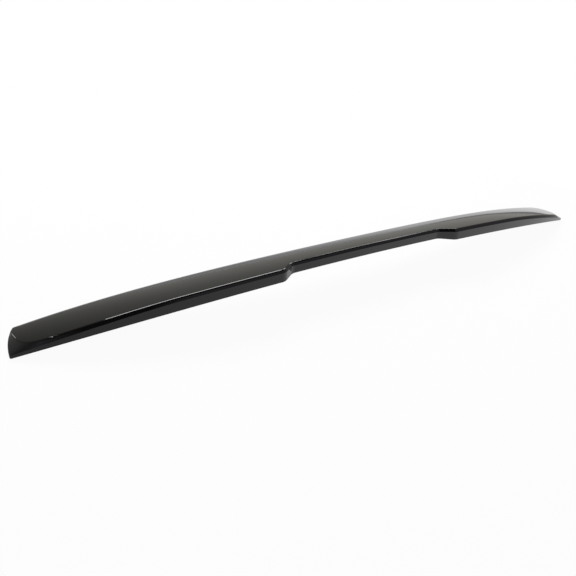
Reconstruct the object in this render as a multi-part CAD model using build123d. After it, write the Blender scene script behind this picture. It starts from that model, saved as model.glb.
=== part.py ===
from build123d import *

import os
from math import cos, radians, sin, tan

# Driving dimensions of the spoiler, in millimetres and degrees.
# X runs across the car, Y towards its front, Z up.

# Whole form
length = 1150.0  # from tip to tip, before the corners are rounded
tip_sweep = 60.9  # the tips lie this far ahead of the middle of the rear edge
tip_drop = 66.7  # and this far below it
sweep_share = 0.5  # share of the sweep that follows a parabola, the rest gathers at the tips
drop_share = 0.7  # the same for the drop
middle_chord = 94.3  # front to rear, on the centre line
tip_chord = 66.0  # front to rear, at the tips
chord_swell = 10.3  # extra depth that the wings gain between the two
front_drop = 14.7  # front edge below the foot of the rear face, on the centre line
tip_front_drop = 2.0  # the same, at the tips
skin_camber = 2.15  # rise of the skin above a straight line from front to rear
front_thickness = 3.2

# Rear face and the bevelled band along its top
face_height = 20.2  # along the middle and the inner wings, band included
tip_face_height = 10.1  # at the tips, band included
face_taper_length = 230.0  # the face loses height over this stretch before each tip
taper_power = 1.5  # how late in that stretch it does so
face_lean = 8.5  # forward lean of the rear face
band_on_face = 5.2  # depth of the band down the rear face
band_on_skin = 3.2  # width of the band across the skin
crease_radius = 2.0  # between the band and the skin
front_radius = 1.5  # upper front edge

# Recess in the middle of the rear edge
recess_width = 336.0  # between the middles of the two steps
recess_depth = 20.0
step_run = 29.0  # sloping side of each step, along the edge
step_radius = 22.0  # rounded corners of the steps

# Ends
end_slant = 22.7  # front corners lie this far inboard of the tips
end_bulge = 4.3  # outward bow of the end edges in plan
tip_radius = 3.5  # rear corner of each end in plan
corner_radius = 8.0  # front corner of each end in plan
end_flare = 6.0  # the rounded corners run out of the rear and front edges by this much
cap_rear = 24.0  # the sloping end cap starts this far before the tip on the rear edge
cap_front = 4.0  # and this far before the tip on the line of the front edge

# Hollow underside
wall = 3.0
land_width = 12.0  # bonding land behind the front edge
tip_solid = 40.0  # the tips are too thin to hollow over this length

section_count = 9  # sections of each loft, evenly spaced
rear_points = 7  # points of each wing's rear edge
overrun = 10.0  # lofts run on behind the rear face by this much and are cut back to it
nudge = 0.01  # short distance for finding directions and matching corners

half = length / 2
corner_x = half - end_slant
upward = Vector(0, 0, 1)
up_face = Vector(0, sin(radians(face_lean)), cos(radians(face_lean)))


def bow(x, share):
    """Even curve from 0 at the middle to 1 at the tips, with a given share of a parabola in it."""
    s = abs(x) / half
    return share * s**2 + (1 - share) * s**4


def foot(x):
    """Lower edge of the rear face, as if the recess were filled."""
    return Vector(x, tip_sweep * bow(x, sweep_share), -tip_drop * bow(x, drop_share))


def chord(x):
    s = abs(x) / half
    return middle_chord + chord_swell * s**2 - (middle_chord + chord_swell - tip_chord) * s**4


def front(x):
    """Upper edge of the front, where the skin runs out onto the roof."""
    drop = front_drop - (front_drop - tip_front_drop) * bow(x, sweep_share)
    return foot(x) + Vector(0, chord(x), -drop)


def front_foot(x):
    return front(x) - upward * front_thickness


def rear_top(x):
    """Upper edge of the rear face before the band is cut."""
    taper = max((abs(x) - half + face_taper_length) / face_taper_length, 0) ** taper_power
    return foot(x) + up_face * (face_height - (face_height - tip_face_height) * taper)


def skin_bend(x):
    """Control point that gives the skin its camber."""
    return (rear_top(x) + front(x)) / 2 + upward * 2 * skin_camber


def skin(x, t):
    """Point of the skin, with t from 0 at the rear to 1 at the front."""
    return rear_top(x) * (1 - t) ** 2 + skin_bend(x) * 2 * t * (1 - t) + front(x) * t**2


def skin_line(x, start, end):
    """Stretch of the skin between two values of t."""
    bend = (
        rear_top(x) * (1 - start) * (1 - end)
        + skin_bend(x) * (start * (1 - end) + end * (1 - start))
        + front(x) * start * end
    )
    return [skin(x, start), bend, skin(x, end)]


def outer_section(x):
    """Section of the spoiler as a solid bar that runs on behind the rear face."""
    back = -overrun / chord(x)
    low = foot(x) + (front_foot(x) - foot(x)) * back
    edges = [
        Line(low, skin(x, back)),
        Bezier(*skin_line(x, back, 1)),
        Line(front(x), front_foot(x)),
        Line(front_foot(x), low),
    ]
    return Wire(edges)


def hollow_section(x):
    """Section of the space under the skin, carried below the shell so that it cuts right through."""
    below = upward * face_height
    back = -overrun / chord(x)
    land = 1 - land_width / chord(x)
    top = [point - upward * wall for point in skin_line(x, back, land)]
    edges = [
        Line(foot(x) - below - Vector(0, overrun, 0), top[0]),
        Bezier(*top),
        Line(top[2], top[2] - below),
        Line(top[2] - below, foot(x) - below - Vector(0, overrun, 0)),
    ]
    return Wire(edges)


def loft_across(section, end):
    """Loft through evenly spaced sections from -end to end."""
    gap = 2 * end / (section_count - 1)
    return Solid.make_loft([section(k * gap - end) for k in range(section_count)])


def flat(point):
    return Vector(point.X, point.Y, 0)


def both_sides(edges):
    return edges + [mirror(edge, Plane.YZ) for edge in edges]


def across(point):
    """Line from a point on the right to its mirror image on the left."""
    return Line(point, point - Vector(2 * point.X, 0, 0))


def round_corners(plan, x, radius):
    """Round the corners of a plan outline that lie at x and at -x."""
    corners = [vertex for vertex in plan.vertices() if abs(abs(vertex.X) - x) < nudge]
    return fillet(corners, radius)


def round_steps(tool, x):
    """Round the edges of the rear tool that lie at x and at -x."""
    edges = [edge for edge in tool.edges() if abs(abs(edge.center().X) - x) < nudge]
    leaning = [edge for edge in edges if edge.length > length / 2]
    return fillet(leaning, step_radius)


def rear_line(x):
    """Rear edge in plan, slid along the lean of the rear face to the level of its middle."""
    low = foot(x)
    return Vector(x, low.Y - low.Z * tan(radians(face_lean)), 0)


def rear_tool(grow):
    """Prism behind the whole rear face, which leans as the face does and fills the recess."""
    inner_x = (recess_width - step_run) / 2 + grow
    outer_x = (recess_width + step_run) / 2 + grow
    end_x = half + overrun
    ahead = Vector(0, grow, 0)
    inner = rear_line(inner_x) + ahead + Vector(0, recess_depth, 0)
    middle = rear_line(0) + ahead + Vector(0, recess_depth, 0)
    gap = (end_x - outer_x) / (rear_points - 1)
    wing = [rear_line(outer_x + k * gap) + ahead for k in range(rear_points)]
    behind = Vector(end_x, -middle_chord, 0)
    side = [Line(inner, wing[0]), Spline(wing), Line(wing[-1], behind)]
    recessed = ThreePointArc(inner, middle, Vector(-inner.X, inner.Y, 0))
    plan = make_face(both_sides(side) + [recessed, across(behind)])
    tool = extrude(plan.moved(Pos(up_face * -length / 2)), amount=length, dir=up_face)
    tool = round_steps(tool, inner_x)
    return round_steps(tool, outer_x)


def heading(line, x):
    """Direction in plan in which a line runs inboard from x."""
    return flat(line(x - nudge) - line(x)).normalized()


def plan_window():
    """Tall prism that trims the ends to their bowed and rounded outline in plan."""
    tip = flat(foot(half))
    corner = flat(front(corner_x))
    bulge = (tip + corner) / 2 + (corner - tip).normalized().cross(upward) * end_bulge
    rear = tip + heading(foot, half) * tip_solid - Vector(0, end_flare, 0)
    fore = corner + heading(front, corner_x) * tip_solid + Vector(0, end_flare, 0)
    rear_clear = rear - Vector(0, length, 0)
    fore_clear = fore + Vector(0, length, 0)
    side = [
        Line(rear_clear, rear),
        Line(rear, tip),
        ThreePointArc(tip, bulge, corner),
        Line(corner, fore),
        Line(fore, fore_clear),
    ]
    plan = make_face(both_sides(side) + [across(rear_clear), across(fore_clear)])
    plan = round_corners(plan, half, tip_radius)
    plan = round_corners(plan, corner_x, corner_radius)
    return extrude(plan, amount=length, both=True)


def cap_plane(side):
    """Plane of one end cap, from the skin's rear and front edges down to the foot of the band."""
    rear = rear_top(side * (half - cap_rear))
    fore = front(side * (half - cap_front))
    tip = foot(side * half) + up_face * (tip_face_height - band_on_face)
    return Plane(origin=rear, z_dir=(fore - rear).cross(rear - tip) * side)


def top_face(body):
    return max(body.faces(), key=lambda face: face.area * (face.normal_at().Z > 0))


def skin_edges(body, at_rear):
    """Edges of the skin along the rear or along the front, without its ends."""
    chosen = []
    for edge in top_face(body).edges():
        middle = edge.position_at(0.5)
        in_rear_half = middle.Y < foot(middle.X).Y + chord(middle.X) / 2
        runs_across = abs(edge.position_at(1).X - edge.position_at(0).X) > nudge
        if runs_across and in_rear_half == at_rear:
            chosen.append(edge)
    return chosen


def bevelled(body):
    """Cut the band along the rear edge of the skin."""
    return chamfer(skin_edges(body, True), band_on_skin, band_on_face, reference=top_face(body))


def spoiler_shell():
    bar = bevelled(loft_across(outer_section, half) - rear_tool(0))
    bar = fillet(skin_edges(bar, True), crease_radius)
    bar = fillet(skin_edges(bar, False), front_radius)
    for side in (-1, 1):
        bar = split(bar, bisect_by=cap_plane(side), keep=Keep.BOTTOM)
    bar = bar & plan_window()
    hollow = bevelled(loft_across(hollow_section, half - tip_solid) - rear_tool(wall))
    shell = bar - hollow
    box = shell.bounding_box()
    return shell.moved(Pos(0, -box.center().Y, -box.min.Z))


os.makedirs("parts", exist_ok=True)
export_step(spoiler_shell(), "parts/spoiler_shell.step")
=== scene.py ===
# %% [markdown]
# # A roof spoiler in gloss black plastic
#
# The spoiler is one moulded shell that sits on the rear edge of a car roof. Its skin arches from
# side to side and its tips sweep forward and droop. The rear edge carries a bevelled band and is
# stepped back in the middle. This lesson models the shell as one smooth sheet, gives it a polished
# black finish and sets it in a plain white studio.

import math

import bmesh
import bpy
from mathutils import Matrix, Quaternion, Vector


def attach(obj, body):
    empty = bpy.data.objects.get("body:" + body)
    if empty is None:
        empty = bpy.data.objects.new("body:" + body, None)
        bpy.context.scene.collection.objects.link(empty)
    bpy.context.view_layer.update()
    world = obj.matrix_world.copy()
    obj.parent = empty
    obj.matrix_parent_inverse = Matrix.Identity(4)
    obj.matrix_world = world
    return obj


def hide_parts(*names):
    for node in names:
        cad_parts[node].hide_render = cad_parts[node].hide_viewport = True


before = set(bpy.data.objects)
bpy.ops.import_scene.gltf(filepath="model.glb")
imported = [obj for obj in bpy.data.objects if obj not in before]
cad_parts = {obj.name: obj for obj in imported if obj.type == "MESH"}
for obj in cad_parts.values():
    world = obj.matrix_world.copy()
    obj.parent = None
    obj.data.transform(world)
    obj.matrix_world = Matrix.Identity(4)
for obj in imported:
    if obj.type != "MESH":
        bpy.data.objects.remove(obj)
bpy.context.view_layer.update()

# %% [markdown]
# ## The sizes of the shell
#
# A gloss surface shows every change of slope, so the form is written as a few smooth curves along
# the span, and each point of the mesh is placed on them. X runs across the car, Y to its front and
# Z up. All sizes are in millimetres and become metres when they are multiplied by mm.

# %% Sizes of the shell
mm = 0.001
half = 575 * mm  # half of the span
rear_y = -64.18 * mm  # middle of the rear edge, as if the recess were filled
foot_z = 67.5 * mm  # and its height over the floor
tip_sweep = 60.9 * mm  # the tips lie this far ahead of the middle of the rear edge
tip_drop = 66.7 * mm  # and this far below it
sweep_share = 0.5  # share of the sweep that follows a parabola, the rest gathers at the tips
drop_share = 0.7  # the same for the drop
middle_chord = 94.3 * mm  # front to rear, in the middle
tip_chord = 66.0 * mm  # front to rear, at the tips
chord_swell = 10.3 * mm  # extra depth that the wings gain between the two
front_drop = 14.7 * mm  # front edge below the foot of the rear face, in the middle
tip_front_drop = 2.0 * mm  # the same, at the tips
front_thickness = 3.2 * mm
face_height = 20.2 * mm  # rear face in the middle and on the inner wings, band included
tip_face_height = 10.1 * mm  # the same, at the tips
face_taper_length = 230 * mm  # the face loses height over this stretch before each tip
taper_power = 1.5  # how late in that stretch it does so
face_lean = math.tan(math.radians(8.5))  # the rear face leans forward by this slope
print("span and depth", 2 * half, middle_chord)


# %% [markdown]
# ## Curves along the span
#
# The rear edge is a bow in plan and a droop in height, both even curves that grow towards the
# tips. The front edge and the top of the rear face follow it. They are written as functions of X,
# so that every later point lies on the same smooth lines.

# %% Curves along the span
def bow(x, share):
    """Even curve from 0 in the middle to 1 at the tips, with a given share of a parabola in it."""
    s = x / half
    return share * s**2 + (1 - share) * s**4


def foot(x):
    """Lower edge of the rear face, as if the recess were filled."""
    y = rear_y + tip_sweep * bow(x, sweep_share)
    return Vector((x, y, foot_z - tip_drop * bow(x, drop_share)))


def front(x):
    """Upper edge of the front, where the skin runs out onto the roof."""
    s = x / half
    chord = middle_chord + chord_swell * s**2 - (middle_chord + chord_swell - tip_chord) * s**4
    drop = front_drop - (front_drop - tip_front_drop) * bow(x, sweep_share)
    return foot(x) + Vector((0, chord, -drop))


def rear_top(x):
    """Upper edge of the rear face before the band is cut, as if the recess were filled."""
    taper = max((abs(x) - half + face_taper_length) / face_taper_length, 0) ** taper_power
    height = face_height - (face_height - tip_face_height) * taper
    return foot(x) + Vector((0, face_lean, 1)).normalized() * height


print("rear edge height in the middle and at the tip", foot(0).z, foot(half).z)

# %% [markdown]
# ## Skin and underside
#
# From rear to front the skin is a straight line with a slight camber on top, and it rolls down a
# little at the front edge. The underside is a straight line between the two lower edges. Both are
# heights over a place in plan, which lets a flat grid be lifted onto them later.

# %% Skin and underside
skin_camber = 2.15 * mm  # rise of the skin above a straight line from rear to front
roll_length = 8 * mm  # the skin rolls down to the front edge over this length
roll_drop = 0.5 * mm  # and by this much


def skin_height(x, y):
    rear = rear_top(x)
    fore = front(x)
    t = (y - rear.y) / (fore.y - rear.y)
    roll = max(y - fore.y + roll_length, 0) / roll_length
    return rear.z * (1 - t) + fore.z * t + 4 * skin_camber * t * (1 - t) - roll_drop * roll**2


def under_height(x, y):
    rear = foot(x)
    fore = front(x)
    t = (y - rear.y) / (fore.y - rear.y)
    return rear.z * (1 - t) + (fore.z - front_thickness) * t


print("thickness at the origin", skin_height(0, 0) - under_height(0, 0))

# %% [markdown]
# ## The recess
#
# The middle of the rear edge is set forward between two steps. Each step is a straight slope in
# plan with a small round at both of its corners. A formula gives the same round to the foot, the
# band and the crease, which a bevel on each of them would not.

# %% Recess
recess_width = 336 * mm  # between the middles of the two steps
recess_depth = 19.4 * mm
step_run = 25 * mm  # sloping side of each step, along the edge
step_round = 5.5 * mm  # length of the round either side of each corner of a step


def eased(distance):
    """Nothing before a corner and the distance after it, with the corner rounded."""
    if abs(distance) < step_round:
        return (distance + step_round) ** 2 / (4 * step_round)
    return max(distance, 0)


def recess(x):
    """How far the rear edge is set forward: fully in the middle, not at all on the wings."""
    distance = abs(x) - (recess_width - step_run) / 2
    return recess_depth * (1 - (eased(distance) - eased(distance - step_run)) / step_run)


print("recess in the middle and on the wing", recess(0), recess(half))

# %% [markdown]
# ## The rim at the rear
#
# Seen in section, the rim of the shell is a short broken line: down from the skin at the crease,
# over the band to its seam with the face, and down the face to the foot. The same three corners
# run round the whole shell. On the rear edge they are far apart.

# %% Rim of the rear edge
band_on_face = 5.2 * mm  # depth of the band down the rear face
band_on_skin = 3.2 * mm  # width of the band across the skin
settle_rounds = 4  # times that the top of the face is set on the skin again


def rear_rim(x):
    """Foot, seam and crease of the rear edge."""
    low = foot(x)
    low.y += recess(x)
    low.z = under_height(x, low.y)
    top = low.copy()
    for _ in range(settle_rounds):
        top.z = skin_height(x, top.y)
        top.y = low.y + (top.z - low.z) * face_lean
    seam = low.lerp(top, 1 - band_on_face / (top - low).length)
    slope = (recess(x + mm) - recess(x - mm)) / (2 * mm)
    crease_y = top.y + band_on_skin * math.hypot(1, slope)
    return low, seam, Vector((x, crease_y, skin_height(x, crease_y)))


print("rim in the middle of the rear edge", rear_rim(0))

# %% [markdown]
# ## The rim at the ends and the front
#
# At the tips the band widens into a sloping cap, and at the front all that is left of it is a thin
# rounded edge. These stretches get the same three corners, so that one mesh can run round them all.

# %% Rim of the ends and the front
end_slant = 22.7 * mm  # front corners lie this far inboard of the tips
end_bulge = 4.3 * mm  # outward bow of the end edges in plan
end_height = 4.5 * mm  # the seam lies this far above the foot on the end
end_height_share = 0.6  # but no further than this share of the height there
cap_x = 559.2 * mm  # the crease runs along the end at this distance from the middle
least_cap = 0.6 * mm  # but at least this far inside the foot
front_seam_share = 0.25  # height of the seam on the front edge


def end_rim(depth):
    """Foot, seam and crease of the end, with depth from 0 at the tip to 1 at the front corner."""
    tip = foot(half)
    corner = front(half - end_slant)
    out = (corner - tip).cross(Vector((0, 0, 1))).normalized()
    low = tip.lerp(corner, depth) + out * end_bulge * 4 * depth * (1 - depth)
    low.z = under_height(low.x, low.y)
    crease = Vector((min(cap_x, low.x - least_cap), low.y, 0))
    crease.z = skin_height(crease.x, crease.y)
    seam = low.copy()
    seam.z += min(end_height, end_height_share * (skin_height(low.x, low.y) - low.z))
    return low, seam, crease


def front_rim(x):
    """The same on the front edge, where the three are close together."""
    crease = front(x) - Vector((0, 0, roll_drop))
    low = front(x) - Vector((0, 0, front_thickness))
    return low, low.lerp(crease, front_seam_share), crease


print("rim halfway along the end", end_rim(0.5))

# %% [markdown]
# ## Round the corners
#
# At the tip the foot turns a tight corner while the crease sweeps round in a wide one, so each
# corner line gets its own bend over the same stretch of the rim. The front corner is a plain small
# radius.

# %% Corners of the rim
crease_turn_x = 520 * mm  # the crease leaves the rear edge here
crease_turn_depth = 0.42  # and joins the end here
foot_turn_x = 572 * mm  # the same two places for the foot
foot_turn_depth = 0.04
foot_turn_start = 0.4  # part of the turn at which the foot comes to its corner
foot_turn_end = 0.6  # and at which it has passed it
front_turn_depth = 0.95  # the front corner starts here on the end
front_turn_x = 548 * mm  # and is over here on the front edge


def bend(start, corner, end, t):
    return start * (1 - t) ** 2 + corner * 2 * t * (1 - t) + end * t**2


def between(start, end, t):
    return start + (end - start) * t


def tip_rim(turn):
    """Rim round the tip, with turn from 0 on the rear edge to 1 on the end."""
    first = rear_rim(crease_turn_x)[2]
    last = end_rim(crease_turn_depth)[2]
    crease = bend(first, rear_rim(cap_x)[2], last, turn)
    crease.z = skin_height(crease.x, crease.y)
    if turn < foot_turn_start:
        x = between(crease_turn_x, foot_turn_x, turn / foot_turn_start)
        low, seam = rear_rim(x)[:2]
    elif turn > foot_turn_end:
        past = (turn - foot_turn_end) / (1 - foot_turn_end)
        low, seam = end_rim(between(foot_turn_depth, crease_turn_depth, past))[:2]
    else:
        before = rear_rim(foot_turn_x)
        corner = end_rim(0)
        after = end_rim(foot_turn_depth)
        t = (turn - foot_turn_start) / (foot_turn_end - foot_turn_start)
        low, seam = [bend(before[k], corner[k], after[k], t) for k in (0, 1)]
    return low, seam, crease


def front_corner_rim(turn):
    """Rim round the front corner, with turn from 0 on the end to 1 on the front edge."""
    before = end_rim(front_turn_depth)
    corner = front_rim(half - end_slant)
    after = front_rim(front_turn_x)
    return [bend(before[k], corner[k], after[k], turn) for k in range(3)]


print("foot halfway round the tip", tip_rim(0.5)[0])

# %% [markdown]
# ## Stations along the rim
#
# The mesh needs more stations where the form turns quickly: at the steps of the recess and at the
# corners. The list below walks once round the right half of the shell, from the middle of the rear
# edge to the middle of the front edge.

# %% Stations along the rim
step_start = 140 * mm  # the stations lie closer together from here
step_end = 202 * mm  # to here
middle_steps = 14
step_steps = 41
wing_steps = 36
corner_steps = 24
end_steps = 8
front_corner_steps = 6


def spaced(start, end, steps):
    """Evenly spaced values from start on, without end itself."""
    return [between(start, end, k / steps) for k in range(steps)]


rear_stations = spaced(0, step_start, middle_steps)
rear_stations += spaced(step_start, step_end, step_steps)
rear_stations += spaced(step_end, crease_turn_x, wing_steps)
columns = len(rear_stations) + corner_steps // 2
rows = corner_steps // 2 + end_steps + front_corner_steps // 2
front_steps = columns - front_corner_steps // 2


def front_station(place):
    """Place on the front edge that faces a station of the rear edge or of the tip's corner."""
    x = rear_stations[place] if place < len(rear_stations) else crease_turn_x
    past = max(place - len(rear_stations) + 1, 0) / (front_steps - len(rear_stations) + 1)
    return between(x * front_turn_x / half, front_turn_x, past)


rim = [rear_rim(x) for x in rear_stations]
rim += [tip_rim(turn) for turn in spaced(0, 1, corner_steps)]
rim += [end_rim(depth) for depth in spaced(crease_turn_depth, front_turn_depth, end_steps)]
rim += [front_corner_rim(turn) for turn in spaced(0, 1, front_corner_steps)]
rim += [front_rim(front_station(place)) for place in range(front_steps, -1, -1)]
print("sheet", columns, "by", rows, "rim stations", len(rim))

# %% [markdown]
# ## From corners to rows
#
# Each station's three corners become a row of points: a support point on the skin, a soft round
# over the crease, a tight one over the seam, another over the foot and a last point underneath.
# Rounded corners matter more than anything else on a black gloss part, because they catch the
# light.

# %% Rows of the rim
crease_round = 2.7 * mm
crease_round_steps = 8
edge_round = 0.5 * mm  # of the seam and the foot
edge_round_steps = 3
most_round = 0.45  # share of a side that a round takes up at most
skin_margin = 5.4 * mm  # from the crease to the support point on the skin
under_margin = 2.4 * mm  # from the foot to the last point underneath
corner_margin = 0.8 * mm  # both of them, at the tight front corner


def rounded(before, corner, after, reach, steps):
    """Points of a round over one corner that starts and ends at most reach away from it."""
    back = before - corner
    ahead = after - corner
    start = corner + back * min(reach / back.length, most_round)
    end = corner + ahead * min(reach / ahead.length, most_round)
    return [bend(start, corner, end, k / steps) for k in range(steps + 1)]


def inward(k):
    """Direction in plan from the rim into the shell at one station."""
    if k in (0, len(rim) - 1):
        return Vector((0, 1 if k == 0 else -1, 0))
    along = rim[k + 1][2] - rim[k - 1][2]
    return Vector((-along.y, along.x, 0)).normalized()


def inset_space(k):
    """Space for the rim's lines to run inward, which narrows towards the tight front corner."""
    return corner_margin + (rim[k][2] - rim[columns + rows][2]).length / 2


def rim_points(k):
    """All points of one station, from the skin over the rim to the underside."""
    low, seam, crease = rim[k]
    on_skin = crease + inward(k) * min(skin_margin, inset_space(k))
    on_skin.z = skin_height(on_skin.x, on_skin.y)
    under = low + inward(k) * min(under_margin, inset_space(k))
    under.z = under_height(under.x, under.y)
    points = [on_skin]
    points += rounded(on_skin, crease, seam, crease_round, crease_round_steps)
    points += rounded(crease, seam, low, edge_round, edge_round_steps)
    points += rounded(seam, low, under, edge_round, edge_round_steps)
    return points + [under]


rim_rows = list(zip(*[rim_points(k) for k in range(len(rim))]))
print("rim rows", len(rim_rows))


# %% [markdown]
# ## Places in a grid
#
# The skin starts as a flat grid. Its rear, end and front borders are laid on the innermost rim row,
# and every point between is blended from the four borders. A blend like this follows the outline
# more evenly than a grid that is only stretched to fit.

# %% Places in a grid
def border_number(i, j):
    """Station of the rim that a border point of the grid belongs to, or None."""
    if j == 0:
        return i
    if i == columns:
        return columns + j
    if j == rows:
        return 2 * columns + rows - i
    return None


def length_share(points, k):
    """How far along a line its point number k lies, from 0 to 1."""
    steps = [(after - before).length for before, after in zip(points, points[1:])]
    return sum(steps[:k]) / sum(steps)


def blended(border, i, j):
    """Plan position of a grid point, blended from the borders."""
    last = len(border) - 1
    bottom = border[i]
    top = border[last - i]
    side = border[columns + j]
    u = bottom.x / border[columns].x
    v = length_share(border[columns : columns + rows + 1], j)
    middle = border[0].lerp(border[last], v)
    rear = border[0].lerp(border[columns], u)
    fore = border[last].lerp(border[columns + rows], u)
    return bottom.lerp(top, v) + middle.lerp(side, u) - rear.lerp(fore, v)


print("a place in the grid", blended(rim_rows[0], columns // 2, rows // 2))

# %% [markdown]
# ## The skin
#
# A grid is added flat, and each point keeps its place in the grid as a number, because Blender may
# number the points anew as the mesh grows. Then the grid is laid in its borders and lifted onto the
# skin.

# %% Lay the skin
def add_sheet(name):
    """Flat grid of columns by rows, with each point's place in the grid kept as a number."""
    bpy.ops.object.select_all(action="DESELECT")
    bpy.ops.mesh.primitive_grid_add(x_subdivisions=columns, y_subdivisions=rows, size=1)
    sheet = bpy.context.object
    sheet.name = name
    number = sheet.data.attributes.new("station", "INT", "POINT")
    for vertex in sheet.data.vertices:
        i = round((vertex.co.x + 0.5) * columns)
        j = round((vertex.co.y + 0.5) * rows)
        number.data[vertex.index].value = i * (rows + 1) + j
    return sheet


def fit_sheet(sheet, place):
    """Move each point to where place puts it."""
    number = sheet.data.attributes["station"]
    for vertex in sheet.data.vertices:
        vertex.co = place(*divmod(number.data[vertex.index].value, rows + 1))


def place_on_skin(i, j):
    station = border_number(i, j)
    if station is not None:
        return rim_rows[0][station]
    point = blended(rim_rows[0], i, j)
    point.z = skin_height(point.x, point.y)
    return point


skin = add_sheet("spoiler")
fit_sheet(skin, place_on_skin)
print("skin points", len(skin.data.vertices))

# %% [markdown]
# ## Extrude the rim
#
# The border of the skin is extruded once for each row of the rim, and each new row is moved to its
# place, just as an edge is pulled out and set by hand.

# %% Extrude the rim row by row
plane_slack = 0.01 * mm  # points this near to the middle plane count as on it


def select_border(sheet):
    """Select the open edges of the sheet, without those on the middle plane."""
    mesh = bmesh.from_edit_mesh(sheet.data)
    for edge in mesh.edges:
        on_middle = all(abs(vertex.co.x) < plane_slack for vertex in edge.verts)
        edge.select_set(edge.is_boundary and not on_middle)
    mesh.select_flush_mode()


def extrude_row(sheet, row):
    bpy.ops.mesh.extrude_edges_move()
    mesh = bmesh.from_edit_mesh(sheet.data)
    number = mesh.verts.layers.int["station"]
    for vertex in mesh.verts:
        if vertex.select:
            vertex.co = row[border_number(*divmod(vertex[number], rows + 1))]
    bmesh.update_edit_mesh(sheet.data)


bpy.ops.object.mode_set(mode="EDIT")
bpy.ops.mesh.select_mode(type="EDGE")
bpy.ops.mesh.select_all(action="DESELECT")
select_border(skin)
for row in rim_rows[1:]:
    extrude_row(skin, row)
bpy.ops.object.mode_set(mode="OBJECT")
print("skin and rim points", len(skin.data.vertices))

# %% [markdown]
# ## The hollow underside
#
# The shell is open below. Behind the front edge lies a flat land that is bonded to the roof, and
# the tips are solid because they are too thin to hollow. A second grid follows the underside, with
# its borders on the last rim row, and steps up to the inside of the skin between the rear wall, the
# land and the solid tips.

# %% Underside
wall = 3 * mm
land_width = 12 * mm
hollow_end = len(rear_stations) + 3  # column of the inner end wall
first_row = 2  # rows of the grid that lie up in the hollow
last_row = rows - 2


def place_under(i, j):
    station = border_number(i, j)
    if station is not None:
        return rim_rows[-1][station]
    point = blended(rim_rows[-1], i, j)
    if i <= hollow_end:
        low, _, crease = rim[i]
        land = rim[len(rim) - 1 - i][0] - Vector((0, land_width, 0))
        share = min(max((j - first_row) / (last_row - first_row), 0), 1)
        rear = low + Vector((0, wall, 0))
        if j >= first_row:
            rear = crease + Vector((0, wall / 2, 0))
        point = rear.lerp(land, share)
    point.z = under_height(point.x, point.y)
    if i < hollow_end and first_row <= j <= last_row:
        point.z = skin_height(point.x, point.y) - wall
    return point


underside = add_sheet("underside")
fit_sheet(underside, place_under)
print("underside points", len(underside.data.vertices))

# %% [markdown]
# ## Black plastic, polished and satin
#
# Polished moulded plastic is nearly black and gets its look from what it mirrors. The mirror is not
# perfect: the surface is very slightly rippled, and fine handling marks change its roughness.
# Inside the hollow the mould is not polished, so the same plastic comes out satin, with a fine
# grain. One function makes both finishes, because they differ only in their numbers.

# %% Black plastic
dark_tint = (1, 1, 1.03)
light_tint = (1, 0.98, 1)
smudge_scale = 22
smudge_detail = 4
grain_depth = 0.2 * mm


def tinted(grey, tint):
    """Colour of a grey with a slight tint."""
    return [grey * part for part in tint] + [1]


def black_plastic(name, dark, light, smooth, rough, grain_scale, grain_strength):
    """Plastic with smudges in its tone and roughness, and a grain in its relief."""
    material = bpy.data.materials.new(name)
    material.use_nodes = True
    nodes = material.node_tree.nodes
    link = material.node_tree.links.new
    shader = nodes["Principled BSDF"]
    place = nodes.new("ShaderNodeTexCoord")
    smudge = nodes.new("ShaderNodeTexNoise")
    smudge.inputs["Scale"].default_value = smudge_scale
    smudge.inputs["Detail"].default_value = smudge_detail
    grain = nodes.new("ShaderNodeTexNoise")
    grain.inputs["Scale"].default_value = grain_scale
    tone = nodes.new("ShaderNodeMix")
    tone.data_type = "RGBA"
    tone.inputs["A"].default_value = tinted(dark, dark_tint)
    tone.inputs["B"].default_value = tinted(light, light_tint)
    roughness = nodes.new("ShaderNodeMapRange")
    roughness.inputs["To Min"].default_value = smooth
    roughness.inputs["To Max"].default_value = rough
    bump = nodes.new("ShaderNodeBump")
    bump.inputs["Strength"].default_value = grain_strength
    bump.inputs["Distance"].default_value = grain_depth
    link(place.outputs["Object"], smudge.inputs["Vector"])
    link(place.outputs["Object"], grain.inputs["Vector"])
    link(smudge.outputs["Fac"], tone.inputs["Factor"])
    link(smudge.outputs["Fac"], roughness.inputs["Value"])
    link(tone.outputs["Result"], shader.inputs["Base Color"])
    link(roughness.outputs["Result"], shader.inputs["Roughness"])
    link(grain.outputs["Fac"], bump.inputs["Height"])
    link(bump.outputs["Normal"], shader.inputs["Normal"])
    return material


polished = {"dark": 0.003, "light": 0.005, "smooth": 0.015, "rough": 0.05}
moulded = {"dark": 0.006, "light": 0.011, "smooth": 0.36, "rough": 0.5}
gloss = black_plastic("gloss_black_plastic", **polished, grain_scale=260, grain_strength=0.02)
satin = black_plastic("satin_black_plastic", **moulded, grain_scale=1500, grain_strength=0.3)
skin.data.materials.append(gloss)
underside.data.materials.append(satin)
print("finishes", gloss.name, satin.name)

# %% [markdown]
# ## Close and mirror the shell
#
# The two sheets share their last row, so they are joined and merged. Then the half is mirrored,
# which makes both halves exactly alike. Smooth shading with weighted normals keeps the broad faces
# calm beside their narrow rounds.

# %% Close and mirror the shell
merge_distance = 0.02 * mm
mirror_merge_distance = 0.05 * mm
sharp_angle = math.radians(40)

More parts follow.
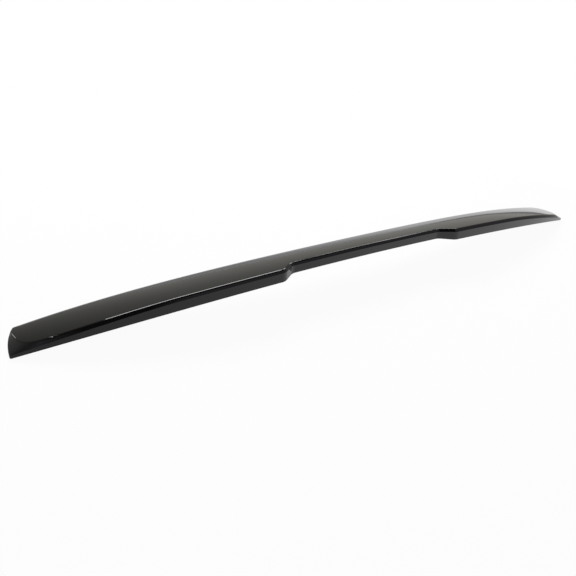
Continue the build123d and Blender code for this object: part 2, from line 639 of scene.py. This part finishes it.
bpy.ops.object.select_all(action="DESELECT")
underside.select_set(True)
skin.select_set(True)
bpy.context.view_layer.objects.active = skin
bpy.ops.object.join()
spoiler = bpy.context.object
bpy.ops.object.mode_set(mode="EDIT")
bpy.ops.mesh.select_all(action="SELECT")
bpy.ops.mesh.remove_doubles(threshold=merge_distance)
bpy.ops.mesh.normals_make_consistent(inside=False)
bpy.ops.object.mode_set(mode="OBJECT")
mirror = spoiler.modifiers.new("other half", "MIRROR")
mirror.merge_threshold = mirror_merge_distance
bpy.ops.object.modifier_apply(modifier=mirror.name)
bpy.ops.object.shade_smooth_by_angle(angle=sharp_angle)
weighted = spoiler.modifiers.new("weighted normals", "WEIGHTED_NORMAL")
weighted.keep_sharp = True
bpy.ops.object.modifier_apply(modifier=weighted.name)
print("faces", len(spoiler.data.polygons))
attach(spoiler, "root")
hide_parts("spoiler_shell")


# %% [markdown]
# ## Painted light that the gloss mirrors in the table
#
# Black gloss only looks black when it has something bright and something dark to mirror. Here the
# bright part is a white table that ends a little beyond the spoiler. What the gloss sees of it is
# painted light: the table glows for gloss rays, graded with a few ramps as a painted falloff of
# the lamps, brighter to the right on the near part and fading out on the far part along a line
# that is slightly turned, with a painted dark strip of shade along the edge at the far right. The
# places are measured in metres from the middle of the table.

# %% Painted light of the table in the gloss
near_ramp = (-0.6, 0.15, 0.48, 1.2)  # from, to, and the painted light at each of them, along X
far_ramp = (0.43, 0.60, 0.72, 0.24)  # the same along Y, turned by the slant
far_slant = -0.2
far_share = (0.2, 0.45, 0, 1)  # where the near part becomes the far part, along Y
painted_shade_across = (0.724, 0.732, 0, 1)  # where the painted dark strip of shade starts, along the radius
painted_shade_along = (0.42, 0.52, 0, 0.95)  # where it sets in at the right, along X


def ramp_along(nodes, link, output, start, end, low, high):
    """Value that goes from low at start to high at end."""
    ramp = nodes.new("ShaderNodeMapRange")
    ramp.inputs["From Min"].default_value = start
    ramp.inputs["From Max"].default_value = end
    ramp.inputs["To Min"].default_value = low
    ramp.inputs["To Max"].default_value = high
    link(output, ramp.inputs["Value"])
    return ramp.outputs["Result"]


def painted_table_light(nodes, link):
    """Painted light and shade: how bright the gloss sees each place of the table."""
    place = nodes.new("ShaderNodeTexCoord")
    axes = nodes.new("ShaderNodeSeparateXYZ")
    link(place.outputs["Object"], axes.inputs["Vector"])
    slant = nodes.new("ShaderNodeMath")
    slant.operation = "MULTIPLY_ADD"
    slant.inputs[1].default_value = far_slant
    link(axes.outputs["X"], slant.inputs[0])
    link(axes.outputs["Y"], slant.inputs[2])
    # painted light: the table's glow in the gloss, brighter to the right and fading out far away
    light = nodes.new("ShaderNodeMix")
    link(ramp_along(nodes, link, axes.outputs["Y"], *far_share), light.inputs["Factor"])
    link(ramp_along(nodes, link, axes.outputs["X"], *near_ramp), light.inputs["A"])
    link(ramp_along(nodes, link, slant.outputs["Value"], *far_ramp), light.inputs["B"])
    radius = nodes.new("ShaderNodeVectorMath")
    radius.operation = "LENGTH"
    link(place.outputs["Object"], radius.inputs[0])
    # painted shade: a dark strip along the table's edge at the far right
    painted_shade_strip = nodes.new("ShaderNodeMath")
    painted_shade_strip.operation = "MULTIPLY"
    link(ramp_along(nodes, link, radius.outputs["Value"], *painted_shade_across), painted_shade_strip.inputs[0])
    link(ramp_along(nodes, link, axes.outputs["X"], *painted_shade_along), painted_shade_strip.inputs[1])
    with_painted_shade = nodes.new("ShaderNodeMix")
    with_painted_shade.inputs["B"].default_value = 0
    link(painted_shade_strip.outputs["Value"], with_painted_shade.inputs["Factor"])
    link(light.outputs["Result"], with_painted_shade.inputs["A"])
    return with_painted_shade.outputs["Result"]


print("light on the near part", near_ramp[2:], "and on the far part", far_ramp[2:])

# %% [markdown]
# ## The table
#
# The table is a round white board. To the camera it is plain white paper, with a small share of its
# real shading left in, so that the spoiler still throws a faint shadow. The gloss sees the painted,
# graded glow instead, also with a share of the real shading.

# %% White table
table_radius = 0.8
table_centre = (0.013, -0.243, 0)
table_corners = 128
table_tone = (0.85, 0.85, 0.85, 1)
table_roughness = 0.9
gloss_share = 0.7  # share of the painted light in what the gloss sees
paper_share = 0.95  # share of plain white in what the camera sees


def shared(nodes, link, output, share):
    """A yes-or-no output of a node, with yes turned down to a share."""
    product = nodes.new("ShaderNodeMath")
    product.operation = "MULTIPLY"
    product.inputs[1].default_value = share
    link(output, product.inputs[0])
    return product.outputs["Value"]


def white_table():
    material = bpy.data.materials.new("white_table")
    material.use_nodes = True
    nodes = material.node_tree.nodes
    link = material.node_tree.links.new
    lit = nodes["Principled BSDF"]
    lit.inputs["Base Color"].default_value = table_tone
    lit.inputs["Roughness"].default_value = table_roughness
    lit.inputs["Specular IOR Level"].default_value = 0
    # painted reflection: the table glows for gloss rays instead of being lit there
    painted_glow = nodes.new("ShaderNodeEmission")
    link(painted_table_light(nodes, link), painted_glow.inputs["Strength"])
    paper = nodes.new("ShaderNodeEmission")
    path = nodes.new("ShaderNodeLightPath")
    for_gloss = nodes.new("ShaderNodeMixShader")
    link(shared(nodes, link, path.outputs["Is Glossy Ray"], gloss_share), for_gloss.inputs["Fac"])
    link(lit.outputs["BSDF"], for_gloss.inputs[1])
    link(painted_glow.outputs["Emission"], for_gloss.inputs[2])
    for_camera = nodes.new("ShaderNodeMixShader")
    link(shared(nodes, link, path.outputs["Is Camera Ray"], paper_share), for_camera.inputs["Fac"])
    link(for_gloss.outputs["Shader"], for_camera.inputs[1])
    link(paper.outputs["Emission"], for_camera.inputs[2])
    link(for_camera.outputs["Shader"], nodes["Material Output"].inputs["Surface"])
    return material


bpy.ops.object.select_all(action="DESELECT")
bpy.ops.mesh.primitive_circle_add(
    vertices=table_corners, radius=table_radius, fill_type="NGON", location=table_centre
)
floor = bpy.context.object
floor.name = "floor"
floor.data.materials.append(white_table())
print("table", list(floor.dimensions))


# %% [markdown]
# ## Tones of a room
#
# Around the table stands a grey room, which the skin, the band and the rear face mirror. A ramp
# over the height of a direction gives each wall its tones, and a blend carries one wall into the
# next, so that no corner of the room shows as a line in the gloss.

# %% Tones of a room
def tones(nodes, tint, steps):
    """Ramp of greys over the height of a direction, from straight down at -1 to straight up at 1.

    The first step is the lowest and the second is the highest, and the others lie between them.
    """
    ramp = nodes.new("ShaderNodeValToRGB")
    elements = ramp.color_ramp.elements
    for k, (height, grey) in enumerate(steps):
        place = (height + 1) / 2
        step = elements[k] if k < 2 else elements.new(place)
        step.position = place
        step.color = tinted(grey, tint)
    return ramp


def blend(nodes, link, output, start, end, first, second):
    """Colour that goes from first to second, or to white, as an output goes from start to end."""
    mix = nodes.new("ShaderNodeMix")
    mix.data_type = "RGBA"
    mix.inputs["B"].default_value = (1, 1, 1, 1)
    link(ramp_along(nodes, link, output, start, end, 0, 1), mix.inputs["Factor"])
    link(first, mix.inputs["A"])
    if second:
        link(second, mix.inputs["B"])
    return mix.outputs["Result"]


world = bpy.data.worlds.new("studio")
bpy.context.scene.world = world
world.use_nodes = True
print("room", world.name)

# %% [markdown]
# ## The room
#
# The wall ahead of the spoiler is slightly warm and gets darker with height. The walls behind it
# are slightly purple, dark at the left and lighter at the right, and a light wall stands at the
# far left. The ceiling is dark. The camera sees all of the room as a white backdrop.

# %% Grey room
warm = (1.02, 1, 0.93)
purple = (1.04, 0.97, 1.08)
behind_span = (-0.07, 0.12)  # the two walls behind meet between these places, along X
ahead_span = (-0.3, 0.3)  # the walls behind and ahead do, along Y
left_span = (-0.65, -0.35)  # the left wall and the rest do, along X

nodes = world.node_tree.nodes
link = world.node_tree.links.new
direction = nodes.new("ShaderNodeTexCoord")
axes = nodes.new("ShaderNodeSeparateXYZ")
link(direction.outputs["Generated"], axes.inputs["Vector"])
ahead = tones(nodes, warm, [(-0.12, 0.47), (0.75, 0.10), (-0.03, 0.41), (0.1, 0.34), (0.4, 0.28)])
behind_left = tones(nodes, purple, [(-0.03, 0.42), (0.8, 0.03), (0.05, 0.20), (0.4, 0.08)])
behind_right = tones(nodes, purple, [(-0.03, 0.42), (0.85, 0.06), (0.05, 0.25), (0.74, 0.28)])
left = tones(nodes, purple, [(-0.03, 0.42), (0.95, 0.04), (0.3, 0.40), (0.75, 0.40)])
height = ramp_along(nodes, link, axes.outputs["Z"], -1, 1, 0, 1)
for ramp in (ahead, behind_left, behind_right, left):
    link(height, ramp.inputs["Fac"])
first, second = behind_left.outputs["Color"], behind_right.outputs["Color"]
behind = blend(nodes, link, axes.outputs["X"], *behind_span, first, second)
room = blend(nodes, link, axes.outputs["Y"], *ahead_span, behind, ahead.outputs["Color"])
room = blend(nodes, link, axes.outputs["X"], *left_span, left.outputs["Color"], room)
path = nodes.new("ShaderNodeLightPath")
room = blend(nodes, link, path.outputs["Is Camera Ray"], 0, 1, room, None)
link(room, nodes["Background"].inputs["Color"])
print("room nodes", len(nodes))

# %% [markdown]
# ## The lamps
#
# One large softbox hangs ahead of the spoiler and a little to its right, and lights the whole
# scene. The rounded crease mirrors it as a thin bright line. Two smaller softboxes carry that line
# on along the recess and the right wing, and two very small ones give the left end its light edge
# and its bright fleck.

# %% Softboxes
lamp_distance = 2.0


def softbox(name, x, turn, rise, width, length, power):
    """Soft lamp that looks at a place of the span, turned from ahead to the right and raised."""
    light = bpy.data.lights.new(name, "AREA")
    light.shape = "RECTANGLE"
    light.size = width
    light.size_y = length
    light.energy = power
    lamp = bpy.data.objects.new(name, light)
    level = math.cos(math.radians(rise))
    toward = Vector((
        math.sin(math.radians(turn)) * level,
        math.cos(math.radians(turn)) * level,
        math.sin(math.radians(rise)),
    ))
    lamp.location = Vector((x, 0, 0)) + toward * lamp_distance
    lamp.rotation_euler = toward.to_track_quat("Z", "Y").to_euler()
    bpy.context.collection.objects.link(lamp)
    print("lamp", name, list(lamp.location))


softbox("main", x=-0.3, turn=21, rise=50, width=1.35, length=0.9, power=37)
softbox("right", x=0.05, turn=66, rise=43, width=0.5, length=0.35, power=2)
softbox("recess", x=-0.05, turn=46, rise=30, width=0.65, length=0.5, power=4.2)
softbox("left end", x=-0.56, turn=-10, rise=12, width=0.1, length=0.3, power=0.3)
softbox("left fleck", x=-0.507, turn=-23, rise=53, width=0.05, length=0.05, power=0.8)

# %% [markdown]
# ## The camera
#
# The camera stands behind the left tip and looks down along the span. Its place and turn were found
# by matching the outlines of the shell.

# %% Camera
camera_place = Vector((-771.6, -816.05, 661.36)) * mm
turn_right = 0.6693  # from straight ahead, in radians
look_down = 0.5659
tilt = 0.1543

camera_data = bpy.data.cameras.new("camera")
camera_data.sensor_width = 36
camera_data.lens = 46.875
camera = bpy.data.objects.new("camera", camera_data)
camera.location = camera_place
yaw = Quaternion((0, 0, 1), -turn_right)
pitch = Quaternion((1, 0, 0), math.pi / 2 - look_down)
roll = Quaternion((0, 0, 1), tilt)
camera.rotation_euler = (yaw @ pitch @ roll).to_euler()
bpy.context.collection.objects.link(camera)
bpy.context.scene.camera = camera
bpy.context.scene.view_settings.view_transform = "Standard"
print("camera", list(camera.location), list(camera.rotation_euler))
